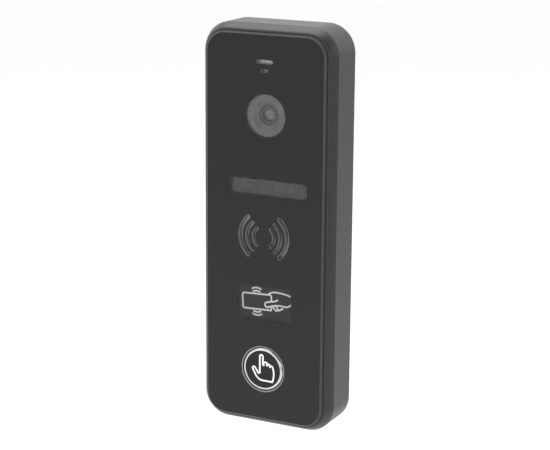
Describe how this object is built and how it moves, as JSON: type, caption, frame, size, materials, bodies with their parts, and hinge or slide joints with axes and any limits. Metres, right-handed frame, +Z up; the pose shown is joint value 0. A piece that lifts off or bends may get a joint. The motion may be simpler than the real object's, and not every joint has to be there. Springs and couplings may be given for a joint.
{
  "type": "door intercom panel",
  "caption": "Slim wall-hung outdoor door station with a clear-fronted black face, a camera window, lamp window, curved sound slots, card reader pictogram and a ringed call button.",
  "frame": {"origin": "middle of the wall bracket's back face, on the wall", "axes": "+Y into the wall, +Z up along the longest side, +X to the right for a person facing the panel"},
  "size_m": [0.0512, 0.0187, 0.144],
  "materials": {
    "housing_paint": "satin",
    "pane_clear": "gloss",
    "print_black": "matte",
    "print_white": "matte",
    "pale_cloth": "matte",
    "zinc_steel": "satin",
    "screw_steel": "satin",
    "cover_plastic": "matte",
    "seal_rubber": "matte",
    "adhesive_foam": "matte",
    "can_aluminium": "satin",
    "lamp_resin": "gloss",
    "guide_clear": "gloss",
    "bezel_grey": "satin",
    "barrel_black": "satin",
    "lens_glass": "gloss",
    "chip_black": "matte",
    "board_green": "gloss",
    "header_black": "satin",
    "window_smoke": "gloss",
    "mesh_grey": "matte",
    "cone_black": "matte",
    "coil_copper": "gloss",
    "magnet_nickel": "satin",
    "contact_brass": "satin",
    "collar_black": "gloss",
    "cap_black": "gloss",
    "ring_chrome": "polished",
    "plunger_white": "matte",
    "trimmer_blue": "satin",
    "option_red": "satin"
  },
  "bodies": {
    "panel": {"board_screws": "screw_steel", "button_collar": "collar_black", "button_gasket": "seal_rubber", "cable_grommet": "seal_rubber", "cable_header": "plunger_white", "camera_bezel": "bezel_grey", "camera_board": "board_green", "camera_header": "header_black", "card_icon": "print_white", "cover_screws": "screw_steel", "filter_capacitors": "can_aluminium", "front_housing": "housing_paint", "front_lens": "lens_glass", "front_pane": "pane_clear", "housing_gasket": "seal_rubber", "image_sensor": "chip_black", "lamp_1": "lamp_resin", "lamp_2": "lamp_resin", "lamp_3": "lamp_resin", "lamp_4": "lamp_resin", "lamp_board": "board_green", "lamp_board_spacers": "header_black", "lamp_window": "window_smoke", "lens_barrel": "barrel_black", "lens_holder": "barrel_black", "light_guide": "guide_clear", "light_sensor": "lamp_resin", "main_board": "board_green", "mesh_ring": "bezel_grey", "microphone": "can_aluminium", "microphone_boot": "seal_rubber", "microphone_cloth": "pale_cloth", "option_switch_body": "option_red", "pane_adhesive": "adhesive_foam", "pane_print": "print_black", "power_inductor": "chip_black", "processor_chip": "chip_black", "reader_coil": "coil_copper", "reader_pins": "contact_brass", "reader_tray": "cover_plastic", "rear_cover": "cover_plastic", "rear_lens": "lens_glass", "retaining_screw": "screw_steel", "speaker_basket": "zinc_steel", "speaker_cone": "cone_black", "speaker_contacts": "contact_brass", "speaker_gasket": "adhesive_foam", "speaker_magnet": "magnet_nickel", "speaker_mesh": "mesh_grey", "switch_body": "header_black", "trimmer_body": "trimmer_blue", "voice_coil": "coil_copper", "wall_bracket": "zinc_steel"},
    "call_button": {"button_cap": "cap_black", "button_ring": "ring_chrome", "button_icon": "print_white"},
    "switch_plunger": {"switch_plunger": "plunger_white"},
    "trimmer_rotor": {"trimmer_rotor": "plunger_white"},
    "option_lever_1": {"option_lever_1": "plunger_white"},
    "option_lever_2": {"option_lever_2": "plunger_white"}
  },
  "joints": [
    {"name": "call_button_press", "type": "slide", "parent": "panel", "child": "call_button", "axis": [0, 1, 0], "range_m": [0, 0.0006], "stiffness_N_per_m": 2500, "springref_m": -0.0002},
    {"name": "switch_plunger_press", "type": "slide", "parent": "panel", "child": "switch_plunger", "axis": [0, 1, 0], "range_m": [0, 0.0006]},
    {"name": "trimmer_turn", "type": "hinge", "parent": "panel", "child": "trimmer_rotor", "pos_m": [0.01, -0.007, -0.014], "axis": [0, 1, 0], "range_deg": [-120, 120]},
    {"name": "option_lever_1_slide", "type": "slide", "parent": "panel", "child": "option_lever_1", "axis": [0, 0, 1], "range_m": [0, 0.001]},
    {"name": "option_lever_2_slide", "type": "slide", "parent": "panel", "child": "option_lever_2", "axis": [0, 0, 1], "range_m": [0, 0.001]}
  ],
  "couplings": [
    {"joint": "switch_plunger_press", "follows": "call_button_press", "ratio": 1}
  ]
}
